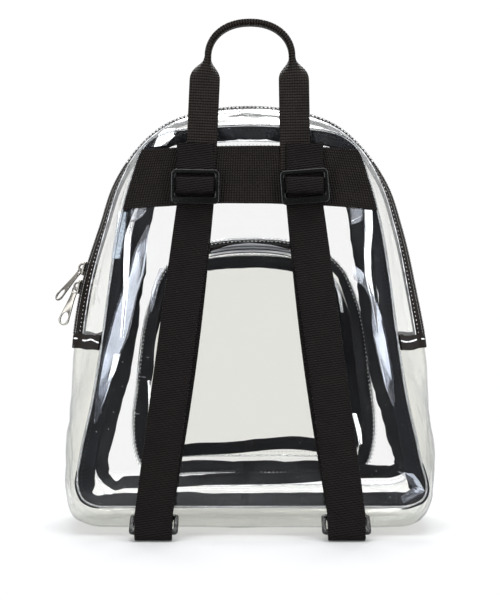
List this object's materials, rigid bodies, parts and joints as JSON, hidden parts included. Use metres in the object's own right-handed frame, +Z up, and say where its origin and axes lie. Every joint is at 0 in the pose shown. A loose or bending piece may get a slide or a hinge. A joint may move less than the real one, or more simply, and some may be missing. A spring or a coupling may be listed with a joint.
{
  "type": "clear stadium backpack",
  "caption": "Small clear PVC backpack with black bound seams, zip over the top, front zip pocket, webbing yoke, grab handle and slider-adjusted shoulder straps.",
  "frame": {"origin": "middle of the flat bottom, where the bag rests on the floor", "axes": "+Z up; -Y is the strap side, which lies on the wearer's back; +Y is the pocket side; +X is right when the strap side is looked at"},
  "size_m": [0.2717, 0.1869, 0.3563],
  "materials": {
    "clear_pvc": "clear glossy PVC sheet",
    "black_tape": "black woven binding and zip tape",
    "zip_coil": "black nylon coil",
    "nickel": "nickel-plated zinc",
    "black_webbing": "black woven webbing",
    "black_plastic": "black moulded acetal, satin"
  },
  "bodies": {
    "root": {"back_panel": "clear_pvc", "front_panel": "clear_pvc", "lower_gusset": "clear_pvc", "zip_gusset_back": "clear_pvc", "zip_gusset_front": "clear_pvc", "pocket_panel": "clear_pvc", "pocket_gusset_lower": "clear_pvc", "pocket_strip_inner": "clear_pvc", "pocket_strip_outer": "clear_pvc", "zip_tape_back": "black_tape", "zip_tape_front": "black_tape", "zip_end_left": "black_tape", "zip_end_right": "black_tape", "binding_back": "black_tape", "binding_front": "black_tape", "pocket_tape_inner": "black_tape", "pocket_tape_outer": "black_tape", "pocket_zip_end_left": "black_tape", "pocket_zip_end_right": "black_tape", "pocket_binding_outer": "black_tape", "pocket_binding_base": "black_tape", "zip_chain": "zip_coil", "pocket_chain": "zip_coil", "zip_slider_upper": "nickel", "zip_slider_lower": "nickel", "zip_pull_upper": "nickel", "zip_pull_lower": "nickel", "pocket_slider": "nickel", "pocket_pull": "nickel", "yoke_webbing": "black_webbing", "handle_webbing": "black_webbing", "shoulder_strap_left": "black_webbing", "shoulder_strap_right": "black_webbing", "strap_tab_left": "black_webbing", "strap_tab_right": "black_webbing", "tri_glide_left": "black_plastic", "tri_glide_right": "black_plastic", "strap_ring_left": "black_plastic", "strap_ring_right": "black_plastic"}
  },
  "joints": []
}
